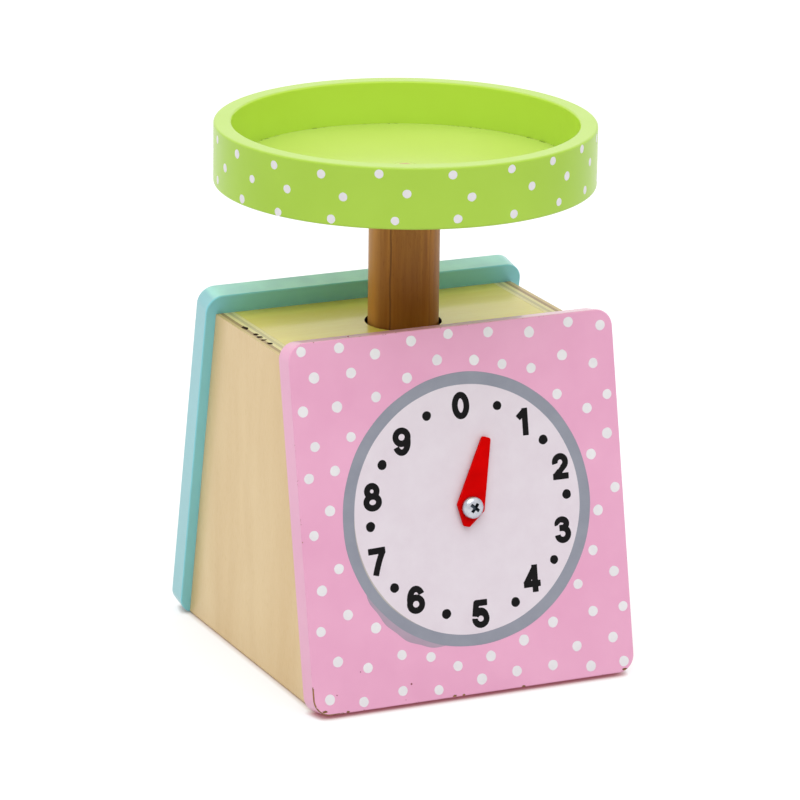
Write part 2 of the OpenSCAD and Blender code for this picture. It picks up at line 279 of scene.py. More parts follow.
class Nodes:
    """Makes and links the nodes of one material or world."""

    def __init__(self, owner):
        owner.use_nodes = True
        self.tree = owner.node_tree

    def add(self, kind, inputs=None, **settings):
        made = self.tree.nodes.new("ShaderNode" + kind)
        for key, value in settings.items():
            setattr(made, key, value)
        for key, value in (inputs or {}).items():
            self.put(made.inputs[key], value)
        return made

    def out(self, kind, inputs=None, output=0, **settings):
        """One output of a new node."""
        return self.add(kind, inputs, **settings).outputs[output]

    def put(self, socket, value):
        if isinstance(value, Value):
            value = value.socket
        if isinstance(value, bpy.types.NodeSocket):
            self.tree.links.new(value, socket)
        else:
            socket.default_value = value

    def math(self, operation, *values):
        return Value(self, self.out("Math", dict(enumerate(values)), operation=operation))

    def far(self, first, second):
        """Length of the long side over two sides at a right angle."""
        return self.math("SQRT", first * first + second * second)

    def axes(self, vector):
        parts = self.add("SeparateXYZ", {"Vector": vector})
        return [Value(self, part) for part in parts.outputs]

    def spread(self, value, start, end, low, high, kind="LINEAR"):
        """The range from start to end spread over low to high."""
        inputs = {"Value": value, "From Min": start, "From Max": end, "To Min": low, "To Max": high}
        return Value(self, self.out("MapRange", inputs, interpolation_type=kind))

    def ramp(self, factor, stops):
        made = self.add("ValToRGB", {"Fac": factor})
        elements = made.color_ramp.elements
        while len(elements) < len(stops):
            elements.new(1.0)
        for element, (position, colour) in zip(elements, stops):
            element.position = position
            element.color = colour
        return made.outputs["Color"]

    def seen_rays(self):
        """1 for camera, glossy and transmission rays, 0 for the rays that carry light."""
        path = self.add("LightPath").outputs
        seen = path["Is Camera Ray"]
        for kind in ("Is Glossy Ray", "Is Transmission Ray"):
            seen = self.math("MAXIMUM", seen, path[kind])
        return seen


class Shader(Nodes):
    """One material's nodes round a Principled shader, in row-frame metres."""

    def __init__(self, name, **settings):
        self.material = bpy.data.materials.new(name)
        super().__init__(self.material)
        self.surface = self.tree.nodes["Principled BSDF"].inputs
        for key, value in settings.items():
            self.surface[key.replace("_", " ").title().replace("Ior", "IOR")].default_value = value
        coordinates = self.add("TexCoord").outputs
        self.place = coordinates["Object"]
        self.normal = coordinates["Normal"]

    def turned(self, size, turn=(0, 0, 0)):
        """The place counted in sizes of that many millimetres along turned axes."""
        sizes = size if isinstance(size, tuple) else (size, size, size)
        scale = tuple(length * MM for length in sizes)
        inputs = {"Vector": self.place, "Scale": scale, "Rotation": turn}
        return self.out("Mapping", inputs, vector_type="TEXTURE")

    def noise(self, size, turn=(0, 0, 0), detail=2.0, rough=0.5, warp=0.0):
        """Noise from 0 to 1 with features of that size in millimetres."""
        inputs = {"Vector": self.turned(size, turn), "Scale": 1.0, "Detail": detail}
        inputs.update({"Roughness": rough, "Distortion": warp})
        return Value(self, self.out("TexNoise", inputs, "Fac"))

    def step(self, value, start, end):
        """0 at start and 1 at end, smooth between them; start may be above end."""
        return self.spread(value, start, end, 0.0, 1.0, "SMOOTHSTEP")

    def span(self, value, low=0.0, high=1.0):
        """Noise from 0.3 to 0.7 spread over low to high."""
        return self.spread(value, 0.3, 0.7, low, high)

    def mix(self, factor, start, end):
        return self.out("Mix", {0: factor, 6: start, 7: end}, 2, data_type="RGBA")

    def finish(self, colour, rough=None, height=None, depth=0.0):
        """Links the colour, the roughness and a bump of that depth in metres."""
        self.put(self.surface["Base Color"], colour)
        if rough is not None:
            self.put(self.surface["Roughness"], rough)
        if height is not None:
            bump = self.out("Bump", {"Height": height, "Distance": depth, "Strength": 1.0})
            self.put(self.surface["Normal"], bump)
        return self.material


# Light and floor
WHITE = (1, 1, 1, 1)
AMBIENT = 0.33
ZENITH = 1.2
BACK_GLOW = 0.8
GLOW_FROM = Vector((0.1, 1, 0)).normalized()
KEY_STRENGTH = 1.07
KEY_FROM = Vector((-0.12, -0.41, 0.9))
KEY_ANGLE = radians(50)
FLOOR_SIZE = 6.0
FLOOR_MATT = (0.68, 0.68, 0.68, 1)
FLOOR_SEEN = (0.42, 0.42, 0.42, 1)
FLOOR_GLOW = 0.58
# Floor close under the object: a warm tint and a painted glow that stand in for the light each board throws
# onto it, from front to back
FLOOR_NEAR_PAINTED_BOUNCE_TINT = (0.8, 0.65, 0.58, 1)
CONTACT_REACH = 2.4 * MM
FRONT_BOUNCE = (0.15, 0.012, 0.022, 1)
SIDE_BOUNCE = (0.15, 0.085, 0.03, 1)
BACK_BOUNCE = (0.03, 0.06, 0.06, 1)
BOUNCE_REACH = 70 * MM
BOUNCE_STOPS = ((0.10, FRONT_BOUNCE), (0.12, SIDE_BOUNCE), (0.88, SIDE_BOUNCE), (0.90, BACK_BOUNCE))


def make_world():
    """White to the camera and in reflections; for light, a tent that is brightest above and behind."""
    world = bpy.data.worlds.new("studio")
    bpy.context.scene.world = world
    made = Nodes(world)
    made.tree.nodes.clear()
    place = made.out("TexCoord", output="Generated")
    rise = made.spread(made.axes(place)[2], 0.0, 1.0, AMBIENT, ZENITH)
    behind = made.out("VectorMath", {0: place, 1: GLOW_FROM}, "Value", operation="DOT_PRODUCT")
    glow = made.spread(behind, 0.0, 1.0, 0.0, BACK_GLOW)
    tent = made.out("Background", {"Color": WHITE, "Strength": rise + glow})
    white = made.out("Background", {"Color": WHITE})
    shown = made.out("MixShader", {0: made.seen_rays(), 1: tent, 2: white})
    made.add("OutputWorld", {"Surface": shown})


def make_floor():
    """A matt floor that reads as white to the camera and keeps the object's shadow."""
    material = bpy.data.materials.new("floor_white")
    made = Nodes(material)
    made.tree.nodes.clear()
    matt = made.out("BsdfDiffuse", {"Color": FLOOR_MATT})
    open_to_air = made.add("AmbientOcclusion", {"Distance": CONTACT_REACH}).outputs
    glow = made.out("Emission", {"Color": open_to_air["Color"], "Strength": FLOOR_GLOW})
    open_floor = made.out("AddShader", {0: made.out("BsdfDiffuse", {"Color": FLOOR_SEEN}), 1: glow})
    depth = made.axes(made.out("TexCoord", output="Object"))[1]
    share = made.spread(depth, -BOUNCE_REACH, BOUNCE_REACH, 0.0, 1.0)
    # Painted bounce light: close under the object the floor takes a warm tint and glows in the colour of the
    # board beside it
    bounce = made.out("Emission", {"Color": made.ramp(share, BOUNCE_STOPS)})
    gap = made.out("AddShader", {0: made.out("BsdfDiffuse", {"Color": FLOOR_NEAR_PAINTED_BOUNCE_TINT}), 1: bounce})
    contact = made.out("MixShader", {0: open_to_air["AO"], 1: gap, 2: open_floor})
    shown = made.out("MixShader", {0: made.seen_rays(), 1: matt, 2: contact})
    made.add("OutputMaterial", {"Surface": shown})
    half = FLOOR_SIZE / 2
    corners = [(-half, -half, 0), (half, -half, 0), (half, half, 0), (-half, half, 0)]
    mesh_object("floor", corners, [(0, 1, 2, 3)], material)


def make_key():
    data = bpy.data.lights.new("key", "SUN")
    data.energy = KEY_STRENGTH
    data.angle = KEY_ANGLE
    key = linked("key", data)
    key.rotation_euler = KEY_FROM.to_track_quat("Z", "Y").to_euler()


# Colours, in pairs where a finish drifts from the first to the second
PINK = (srgb(230, 163, 196), srgb(236, 172, 203))
WORN = (srgb(70, 40, 22), srgb(182, 134, 62))
PLUG_WOOD = (srgb(206, 176, 130), srgb(178, 140, 92))
MINT = (srgb(147, 202, 208), srgb(152, 207, 214))
# Painted light on the mint board: a lighter, greener top edge and a tinted inner strip
MINT_TOP_PAINTED_LIGHT = (srgb(186, 248, 236), srgb(152, 207, 214))
MINT_INNER_PAINTED_LIGHT = (srgb(140, 218, 230), srgb(134, 211, 222))
GREEN = (srgb(171, 209, 68), srgb(176, 214, 74))
# Painted light on the tray: brighter walls inside it and a paler rim top standing for sheen
INNER_GREEN_PAINTED_LIGHT = (srgb(196, 230, 80), srgb(191, 224, 75))
RIM_GREEN_PAINTED_SHEEN = (srgb(180, 210, 98), srgb(176, 206, 92))
# The tray floor's green, paler than the rim's partly as a painted sheen
FLOOR_GREEN_AND_SHEEN = (srgb(186, 209, 98), srgb(189, 212, 103))
SPECK = (srgb(120, 62, 70), srgb(150, 78, 92))
DOT_WHITE = (srgb(226, 222, 226), srgb(236, 233, 235))
RING_GREY = (srgb(137, 140, 153), srgb(146, 149, 161))
FACE_WHITE = (srgb(222, 210, 219), srgb(227, 217, 225))
OVERPRINT = (srgb(177, 154, 172), srgb(167, 146, 164))
LINE_BEIGE = (srgb(168, 160, 156), srgb(190, 184, 176))
INK = (srgb(20, 18, 20), srgb(12, 11, 12))
BIRCH = (srgb(216, 182, 122), srgb(228, 199, 145))
# Birch of the top board: yellower for its amber lacquer and partly as painted light from the tray's green
# underside
LACQUER_AND_PAINTED_BOUNCE = (srgb(234, 212, 90), srgb(242, 226, 106))
# Painted shade: near-black for the walls of the open core gaps
VOID_PAINTED_SHADE = (srgb(30, 20, 12), srgb(74, 48, 26))
BEECH = (srgb(200, 160, 114), srgb(224, 190, 146))
RED = (srgb(200, 0, 0), srgb(216, 0, 0))
# Painted shade in the screw's cross recess
RECESS_PAINTED_SHADE = (srgb(40, 52, 62), srgb(92, 102, 112))
ZINC = (srgb(176, 180, 190), srgb(206, 208, 214))
SEAM_DARK = srgb(84, 120, 20)
CORE_BROWN = srgb(170, 136, 80)
OUTER_VENEER = srgb(214, 186, 124)
CORE_GREY = srgb(206, 192, 140)
VENEER = srgb(236, 222, 158)
# Painted shade on the wall of the top board's hole round the post
HOLE_PAINTED_SHADE = srgb(34, 22, 12)
GLUE_LINE = srgb(140, 108, 64)
STAIN = srgb(196, 130, 52)
STAIN_DARK = srgb(130, 74, 8)
STAIN_LIGHT = srgb(218, 152, 68)
STREAK_BROWN = srgb(70, 38, 14)

# Clear gloss over the paints
GLOSS = {"specular_ior_level": 0.1, "coat_weight": 0.6, "coat_roughness": 0.14}
SOFT_GLOSS = {"specular_ior_level": 0.1, "coat_weight": 0.35, "coat_roughness": 0.14}
# Heights of the bumps in the finishes
PAINT_BUMP = 0.012 * MM
TRAY_BUMP = 0.008 * MM
PRINT_BUMP = 0.004 * MM
VENEER_BUMP = 0.008 * MM
CHIP_BUMP = 0.05 * MM
GRAIN_BUMP = 0.02 * MM
RECESS_BUMP = 0.01 * MM
# Depths between which a board's rounded edge starts to wear
ARRIS_START = 0.55 * MM
ARRIS_FULL = 0.3 * MM


# Materials
def board_edge(mat, towards):
    """Depth inside a leaning board's outline, places on it, and how far out; towards is -1 in front."""
    across, along, height = mat.axes(mat.place)
    inward = along * -towards - FOOT.y
    rise = height - FOOT.z
    up = inward * UPHILL.y + rise * UPHILL.z
    out = rise * UPHILL.y - inward * UPHILL.z
    side_far = abs(across) - (BOARD_W / 2 - BOARD_CORNER_R)
    end_far = abs(up - BOARD_L / 2) - (BOARD_L / 2 - BOARD_CORNER_R)
    outside = mat.far(mat.math("MAXIMUM", side_far, 0.0), mat.math("MAXIMUM", end_far, 0.0))
    inside = mat.math("MINIMUM", mat.math("MAXIMUM", side_far, end_far), 0.0)
    return BOARD_CORNER_R - (outside + inside), across, up, out


def arris(mat, depth, out):
    """1 along the rounded edge between a board's face and its sides."""
    return mat.step(depth, ARRIS_START, ARRIS_FULL) * mat.step(out, -ARRIS_START, -ARRIS_FULL)


def from_axis(mat):
    """Distance from the post's axis."""
    across, along, _ = mat.axes(mat.place)
    return mat.far(across, along)


def film_coat(mat, colours, turn=(0, 0, 0)):
    """Colour, roughness and height of a sprayed coat with faint wood grain under it."""
    drift = mat.noise(24, detail=3)
    peel = mat.noise(0.9, detail=1)
    grain = mat.noise((0.6, 0.6, 16), turn, detail=3)
    tint = mat.mix(mat.span(drift), *colours)
    return tint, mat.span(drift, 0.33, 0.43), peel + grain * 0.5


def worn_wood(mat):
    return mat.mix(mat.noise(1.2, detail=3), *WORN)


def pink_paint():
    """Pink coat, worn to the wood along its rounded edge, most of all at the lower left corner."""
    mat = Shader("pink_paint", roughness=0.38, **GLOSS)
    tint, rough, height = film_coat(mat, PINK, (-LEAN, 0, 0))
    depth, across, up, out = board_edge(mat, -1)
    patch = mat.noise(1.5, detail=4, rough=0.7)
    corner = mat.step(across, -49 * MM, -53 * MM) * mat.step(up, 13 * MM, 8 * MM)
    worn = mat.step(patch - (0.64 - corner * 0.3), 0.0, 0.04)
    wear = arris(mat, depth, out) * worn
    return mat.finish(mat.mix(wear, tint, worn_wood(mat)), rough, height - wear * 4.0, PAINT_BUMP)


def mint_paint():
    """Mint coat, with painted light on the top edge and the inner strip, worn here and there along its edge.
    """
    mat = Shader("mint_paint", roughness=0.38, **GLOSS)
    tint, rough, height = film_coat(mat, MINT, (LEAN, 0, 0))
    depth, _, up, out = board_edge(mat, 1)
    cloud = mat.noise(9)
    # Painted light: the top edge lighter and greener, standing for the green light from the tray above
    top = mat.step(up, BOARD_L - 1.6 * MM, BOARD_L - 0.3 * MM) * mat.step(depth, 0.7 * MM, 0.3 * MM)
    tint = mat.mix(top, tint, mat.mix(cloud, *MINT_TOP_PAINTED_LIGHT))
    # Painted light: the inner strip tinted for the light that falls on it
    inner = mat.step(out, -BOARD_T + 0.9 * MM, -BOARD_T + 0.3 * MM)
    tint = mat.mix(inner, tint, mat.mix(cloud, *MINT_INNER_PAINTED_LIGHT))
    patch = mat.noise(2.6, detail=4, rough=0.7)
    wear = arris(mat, depth, out) * mat.step(patch, 0.68, 0.72)
    return mat.finish(mat.mix(wear, tint, worn_wood(mat)), rough, height, PAINT_BUMP)


def green_paint():
    """The rim's green, with painted light on the walls inside the tray and a painted sheen on the rim's top.
    """
    mat = Shader("green_paint", roughness=0.42, **SOFT_GLOSS)
    tint, rough, height = film_coat(mat, GREEN)
    # Painted light: the walls inside the tray made brighter
    inside = mat.step(from_axis(mat), TRAY_IN + 0.6 * MM, TRAY_IN + 0.2 * MM)
    cloud = mat.noise(14)
    inner_painted_light = mat.mix(cloud, *INNER_GREEN_PAINTED_LIGHT)
    # Painted sheen: the top faces of the rim made paler
    top = mat.step(mat.axes(mat.normal)[2], 0.5, 0.9)
    pale = mat.mix(cloud, *RIM_GREEN_PAINTED_SHEEN)
    return mat.finish(mat.mix(top, mat.mix(inside, tint, inner_painted_light), pale), rough, height, TRAY_BUMP)


def floor_paint():
    """The tray floor's green, paler than the rim's partly as a painted sheen, with dark specks of glue along
    the seam round it.
    """
    mat = Shader("floor_paint", roughness=0.38, **GLOSS)
    tint, rough, height = film_coat(mat, FLOOR_GREEN_AND_SHEEN)
    seam = mat.step(from_axis(mat), TRAY_IN - 0.9 * MM, TRAY_IN - 0.4 * MM)
    speck = mat.step(mat.noise(1.6, detail=3, rough=0.7), 0.52, 0.58)
    gathered = mat.step(mat.noise(22, detail=1), 0.42, 0.52)
    return mat.finish(mat.mix(seam * speck * gathered, tint, SEAM_DARK), rough, height, TRAY_BUMP)


def plug_paint():
    """The tray's coat over the plug, rubbed to the wood at its middle."""
    mat = Shader("plug_paint", roughness=0.4)
    tint, rough, height = film_coat(mat, FLOOR_GREEN_AND_SHEEN)
    ragged = mat.noise(1.5, detail=3) * (1.2 * MM)
    bare = mat.step(from_axis(mat) + ragged, 3.0 * MM, 2.5 * MM)
    wood = mat.mix(mat.noise(0.8, detail=3), *PLUG_WOOD)
    return mat.finish(mat.mix(bare, tint, wood), rough, height, PAINT_BUMP)


def print_film(name, colours, roughness=0.42, specular=0.5):
    """A thin printed film: slight drift of colour and a finely stippled surface."""
    mat = Shader(name, roughness=roughness, specular_ior_level=specular)
    drift = mat.noise(9, detail=4, rough=0.6)
    stipple = mat.noise(0.35)
    rough = mat.span(drift, roughness - 0.05, roughness + 0.05)
    return mat.finish(mat.mix(mat.span(drift), *colours), rough, stipple, PRINT_BUMP)


def birch_face(mat, size, colours):
    """Face veneer: slow warm patches, broad soft streaks and short fine pores along the grain."""
    slow = mat.noise(tuple(value * 2.5 for value in size), detail=3, warp=0.6)
    streak = mat.noise(size, rough=0.4, warp=0.4)
    fine = mat.noise(tuple(value * 0.06 for value in size))
    warm = mat.mix(mat.span(slow, 0.0, 0.7) + mat.span(streak, 0.0, 0.3), *colours)
    return mat.mix(mat.step(fine, 0.56, 0.7) * 0.05, warm, GLUE_LINE), fine


# Colours of five plies by depth: pale veneers, a grey core and a brown core
PLY_STOPS = [
    (0.0, VENEER), (0.18, VENEER), (0.2, CORE_GREY), (0.39, CORE_GREY), (0.41, VENEER), (0.59, VENEER),
    (0.61, CORE_BROWN), (0.79, CORE_BROWN), (0.81, OUTER_VENEER), (1.0, OUTER_VENEER),
]


def ply_bands(mat, depth):
    """Cut edge of the plies by depth from 0 to 1, with ragged fibres."""
    fibre = mat.noise((0.5, 0.9, 0.5), detail=4, rough=0.7)
    bands = mat.ramp(depth + (fibre - 0.5) * 0.06, PLY_STOPS)
    return mat.mix(mat.step(fibre, 0.5, 0.75) * 0.35, bands, GLUE_LINE), fibre


def plywood(name, axis, low, high, grain, colours=BIRCH, lacquer=0.3, hole_r=0.0):
    """Birch plywood: veneer faces across one axis, plies on the cut edges, and painted shade on the wall of
    its hole.
    """
    mat = Shader(name, roughness=0.4, coat_weight=lacquer, coat_roughness=0.12)
    depth = (abs(mat.axes(mat.place)[axis]) - low) * (1 / (high - low))
    on_face = mat.step(abs(mat.axes(mat.normal)[axis]), 0.6, 0.75)
    face, fine = birch_face(mat, grain, colours)
    bands, fibre = ply_bands(mat, depth)
    colour = mat.mix(on_face, bands, face)
    if hole_r:
        # Painted shade: the wall of the hole round the post made near-black
        in_hole = (1.0 - on_face) * mat.step(from_axis(mat), hole_r + 1 * MM, hole_r)
        colour = mat.mix(in_hole, colour, HOLE_PAINTED_SHADE)
    return mat.finish(colour, mat.span(fine, 0.36, 0.5), mat.mix(on_face, fibre, fine), VENEER_BUMP)


# Painted shade: the walls of the open core gaps coloured near-black
def core_gap():
    mat = Shader("core_gap", roughness=0.9)
    return mat.finish(mat.mix(mat.noise(0.7, detail=3), *VOID_PAINTED_SHADE))


def chipped_wood():
    mat = Shader("chipped_wood", roughness=0.75)
    fibre = mat.noise((2.5, 0.4, 0.4), detail=4, rough=0.7)
    return mat.finish(mat.mix(mat.span(fibre), *WORN), None, fibre, CHIP_BUMP)


# A metre in millimetres, for places that stay in metres
METRE = 1000
# Angle from the camera, half width and strength of the post's palest side, which is a painted highlight, and
# of its dark lines
POST_PAINTED_HIGHLIGHT = (radians(-68), 7 * MM, 0.6)
POST_STREAKS = [
    (radians(12), 8 * MM, 0.22), (radians(-22), 0.5 * MM, 0.6),
    (radians(46), 0.4 * MM, 0.25), (radians(150), 0.5 * MM, 0.6),
]


def streak_mask(mat, from_camera, width, strength):
    """A wavering line down the post, at an angle from the side that faces the camera."""
    angle = atan2(view_back.y, view_back.x) + from_camera
    out, aside, _ = mat.axes(mat.turned(METRE, (0, 0, angle)))
    waver = (mat.noise(14) - 0.5) * (1.6 * MM)
    line = mat.step(abs(aside + waver), width, width * 0.3)
    return line * mat.step(out, 0.0, 1 * MM) * strength


def stained_wood():
    """Brown stained beech: long grain, short flecks, a few dark lines and a painted highlight down one side,
    darker towards the box.
    """
    mat = Shader("stained_wood", roughness=0.45, specular_ior_level=0.25)
    grain = mat.noise((2.2, 2.2, 45), detail=5, rough=0.6)
    fleck = mat.noise((0.35, 0.35, 3))
    low = mat.step(mat.axes(mat.place)[2], TRAY_LOW, BOX_TOP)
    colour = mat.mix(mat.span(grain), STAIN_DARK, STAIN_LIGHT)
    colour = mat.mix(0.45, colour, STAIN)
    colour = mat.mix(low * 0.75, colour, STAIN_DARK)
    colour = mat.mix(mat.step(fleck, 0.58, 0.7) * 0.35, colour, STAIN_DARK)
    # Painted highlight: a paler band down one side of the post
    colour = mat.mix(streak_mask(mat, *POST_PAINTED_HIGHLIGHT), colour, STAIN_LIGHT)
    for streak in POST_STREAKS:
        colour = mat.mix(streak_mask(mat, *streak), colour, STREAK_BROWN)
    return mat.finish(colour, mat.span(grain, 0.36, 0.5), fleck, GRAIN_BUMP)


def beech():
    """Plain beech for the pieces inside the box."""
    mat = Shader("beech", roughness=0.55)
    grain = mat.noise((3, 3, 40), detail=4, rough=0.6)
    fleck = mat.noise((0.4, 0.4, 2.5))
    colour = mat.mix(mat.span(grain), *BEECH)
    colour = mat.mix(mat.step(fleck, 0.6, 0.7) * 0.3, colour, BEECH[0])
    return mat.finish(colour, mat.span(grain, 0.5, 0.62), fleck, GRAIN_BUMP)


def red_plastic():
    mat = Shader("red_plastic", roughness=0.45, specular_ior_level=0.03)
    drift = mat.noise(6)
    peel = mat.noise(0.5, detail=1)
    return mat.finish(mat.mix(mat.span(drift), *RED), mat.span(drift, 0.4, 0.5), peel, PRINT_BUMP)


def dull_steel():
    """Steel in the screw's recess, darkened as painted shade."""
    mat = Shader("dull_steel", metallic=1.0, roughness=0.4)
    cloud = mat.noise(0.8, detail=3, rough=0.65)
    tint = mat.mix(cloud, *RECESS_PAINTED_SHADE)
    return mat.finish(tint, mat.span(cloud, 0.32, 0.5), cloud, RECESS_BUMP)


def zinc_steel():
    """Zinc plated steel: cloudy brightness and fine scratches."""
    mat = Shader("zinc_steel", metallic=1.0, roughness=0.28)
    cloud = mat.noise(1.6, detail=4, rough=0.65)
    scratch = mat.noise((0.08, 1.5, 0.3))
    tint = mat.mix(mat.span(cloud), *ZINC)
    return mat.finish(tint, mat.span(cloud, 0.2, 0.36), scratch, PRINT_BUMP)


# Mesh helpers
WELD = 0.001 * MM
SLIVER = 0.01 * MM
FLAT_ANGLE = radians(0.2)


def mesh_object(name, vertices, faces, material):
    mesh = bpy.data.meshes.new(name)
    mesh.from_pydata([tuple(v) for v in vertices], [], faces)
    mesh.materials.append(material)
    return linked(name, mesh)


def add_piece(name, vertices, faces, material, body, slot):
    """A mesh piece in row-frame metres that rides on a body."""
    piece = mesh_object(name, vertices, faces, material)
    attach(piece, body)
    return piece


def smooth(piece, degrees):
    """Smooth shading with edges sharper than the angle kept, and flat faces kept flat."""
    piece.data.shade_smooth()
    piece.data.set_sharp_from_angle(angle=radians(degrees))
    weigh = piece.modifiers.new("weighted_normals", "WEIGHTED_NORMAL")
    weigh.weight = 100
    weigh.keep_sharp = True


def bake_modifiers(piece):
    """Replaces the piece's mesh by its shape with modifiers applied."""
    bpy.context.view_layer.update()
    shaped = piece.evaluated_get(bpy.context.evaluated_depsgraph_get())
    mesh = bpy.data.meshes.new_from_object(shaped)
    piece.modifiers.clear()
    piece.data = mesh


def cut_out(piece, vertices, faces, material):
    """Cuts a closed shape out of the piece; the cut faces take the material, and slivers are cleaned off."""
    cutter = mesh_object("cutter", vertices, faces, material)
    cut = piece.modifiers.new("cut", "BOOLEAN")
    cut.operation = "DIFFERENCE"
    cut.solver = "EXACT"
    cut.object = cutter
    cut.material_mode = "TRANSFER"
    bake_modifiers(piece)
    bpy.data.objects.remove(cutter)
    shape = bmesh.new()
    shape.from_mesh(piece.data)
    bmesh.ops.remove_doubles(shape, verts=shape.verts, dist=SLIVER)
    bmesh.ops.dissolve_degenerate(shape, edges=shape.edges, dist=SLIVER)
    shape.to_mesh(piece.data)
    shape.free()


def taken_apart(shape):
    """Vertices and faces of a bmesh, which is then freed."""
    shape.verts.index_update()
    vertices = [v.co.copy() for v in shape.verts]
    faces = [[v.index for v in face.verts] for face in shape.faces]
    shape.free()
    return vertices, faces


def fresh_copy(node, name, material):
    """A welded copy of a CAD node's mesh, shown in its place so that it can be cut."""
    shape = bmesh.new()
    shape.from_mesh(nodes[node].data)
    bmesh.ops.remove_doubles(shape, verts=shape.verts, dist=WELD)
    bmesh.ops.dissolve_limit(shape, angle_limit=FLAT_ANGLE, verts=shape.verts, edges=shape.edges)
    body = nodes[node]["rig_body"]
    slot = nodes[node].data.materials[0].name
    piece = add_piece(name, *taken_apart(shape), material, body, slot)
    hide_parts(node)
    return piece


def tube_faces(rings, sides):
    """Faces of a tube through rings of vertices from the top down, with a cap at each end."""
    faces = [tuple(range(sides))]
    for ring in range(rings - 1):
        upper = ring * sides
        lower = upper + sides
        for side in range(sides):
            after = (side + 1) % sides
            faces.append((upper + side, lower + side, lower + after, upper + after))
    final = (rings - 1) * sides
    faces.append(tuple(final + side for side in reversed(range(sides))))
    return faces


def ball_faces(rings, sides):
    """Faces over rings of vertices from a top vertex down to a last one."""
    final = 1 + (rings - 1) * sides
    last = final + sides
    faces = []
    for side in range(sides):
        after = (side + 1) % sides
        faces.append((0, 1 + side, 1 + after))
        for upper in range(1, final, sides):
            lower = upper + sides
            faces.append((upper + side, lower + side, lower + after, upper + after))
        faces.append((final + side, last, final + after))
    return faces


def blob(centre, axes, sizes, dice, rings=6, sides=10, ragged=0.25):
    """Vertices and faces of a closed lumpy ellipsoid."""
    vertices = [centre + axes[2] * sizes[2]]
    for ring in range(1, rings):
        tilt = pi * ring / rings
        for side in range(sides):
            turn = tau * side / sides
            scale = sin(tilt) * (1 + dice.uniform(-ragged, ragged))
            aside = axes[0] * (sizes[0] * cos(turn) * scale) + axes[1] * (sizes[1] * sin(turn) * scale)
            vertices.append(centre + aside + axes[2] * (sizes[2] * cos(tilt)))
    vertices.append(centre - axes[2] * sizes[2])
    return vertices, ball_faces(rings - 1, sides)


def joined(shapes):
    """Several (vertices, faces) shapes as one."""
    vertices, faces = [], []
    for points, polygons in shapes:
        start = len(vertices)
        vertices.extend(points)
        faces.extend([tuple(index + start for index in polygon) for polygon in polygons])
    return vertices, faces


def revolve(profile, sides, place):
    """A closed turned shape from (radius, height) points that start and end on the axis."""
    vertices = [place(0, 0, profile[0][1])]
    for radius, height in profile[1:-1]:
        for side in range(sides):
            turn = tau * side / sides
            vertices.append(place(radius * cos(turn), radius * sin(turn), height))
    vertices.append(place(0, 0, profile[-1][1]))
    faces = ball_faces(len(profile) - 2, sides)
    return vertices, [face[:1] + face[:0:-1] for face in faces]


# Rounded boards
CORNER_STEPS = 14
EDGE_STEPS = 5
CHIP_TALL = 0.45 * MM
CHIP_DEEP = 0.35 * MM
CHIP_SEED = 11
# A pixel that misses its piece moves towards the photograph's middle in steps of this share
PIXEL_STEP = 0.003
PIXEL_TRIES = 40


def round_ring(core, radius):
    """Points round a convex outline that stands off its core corners by a radius."""
    points = []
    for i, corner in enumerate(core):
        before = corner - core[i - 1]
        after = core[(i + 1) % len(core)] - corner
        start = atan2(-before.x, before.y)
        sweep = (atan2(-after.x, after.y) - start) % tau
        for k in range(CORNER_STEPS + 1):
            angle = start + sweep * k / CORNER_STEPS
            points.append(corner + radius * Vector((cos(angle), sin(angle))))
    return points


def rounded_plate(core, corner_r, edge_r, thickness, place):
    """A plate with a convex outline and round edges; place(x, y, out) puts it, with its face at out 0."""
    flat_r = corner_r - edge_r
    arcs = [radians(90 * k / EDGE_STEPS) for k in range(EDGE_STEPS + 1)]
    rings = [(flat_r + edge_r * sin(a), edge_r * cos(a) - edge_r) for a in arcs]
    rings += [(flat_r + edge_r * cos(a), edge_r - thickness - edge_r * sin(a)) for a in arcs]
    vertices = []
    for radius, out in rings:
        vertices.extend(place(point.x, point.y, out) for point in round_ring(core, radius))
    return vertices, tube_faces(len(rings), len(core) * (CORNER_STEPS + 1))


def on_front(x, up, out=0.0):
    return FOOT + ACROSS * x + UPHILL * up + FACE_OUT * out


def on_back(x, up, out=0.0):
    point = on_front(-x, up, out)
    return Vector((point.x, -point.y, point.z))


def trimmed_flat(vertices, faces):
    """The shape with everything below the floor cut off and the cut closed."""
    shape = bmesh.new()
    made = [shape.verts.new(v) for v in vertices]
    for face in faces:
        shape.faces.new([made[i] for i in face])
    everything = shape.verts[:] + shape.edges[:] + shape.faces[:]
    down = (0, 0, -1)
    cut = bmesh.ops.bisect_plane(shape, geom=everything, plane_co=(0, 0, 0), plane_no=down, clear_outer=True)
    rim = [part for part in cut["geom_cut"] if isinstance(part, bmesh.types.BMEdge)]
    bmesh.ops.contextual_create(shape, geom=rim)
    bmesh.ops.remove_doubles(shape, verts=shape.verts, dist=WELD)
    bmesh.ops.recalc_face_normals(shape, faces=shape.faces)
    return taken_apart(shape)


def make_board(name, place, material, slot):
    half = BOARD_W / 2 - BOARD_CORNER_R
    low = BOARD_CORNER_R
    high = BOARD_L - BOARD_CORNER_R
    core = [Vector(p) for p in ((-half, low), (half, low), (half, high), (-half, high))]
    plate = rounded_plate(core, BOARD_CORNER_R, BOARD_EDGE_R, BOARD_T, place)
    piece = add_piece(name + "_rounded", *trimmed_flat(*plate), material, "housing", slot)
    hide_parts(name)
    return piece


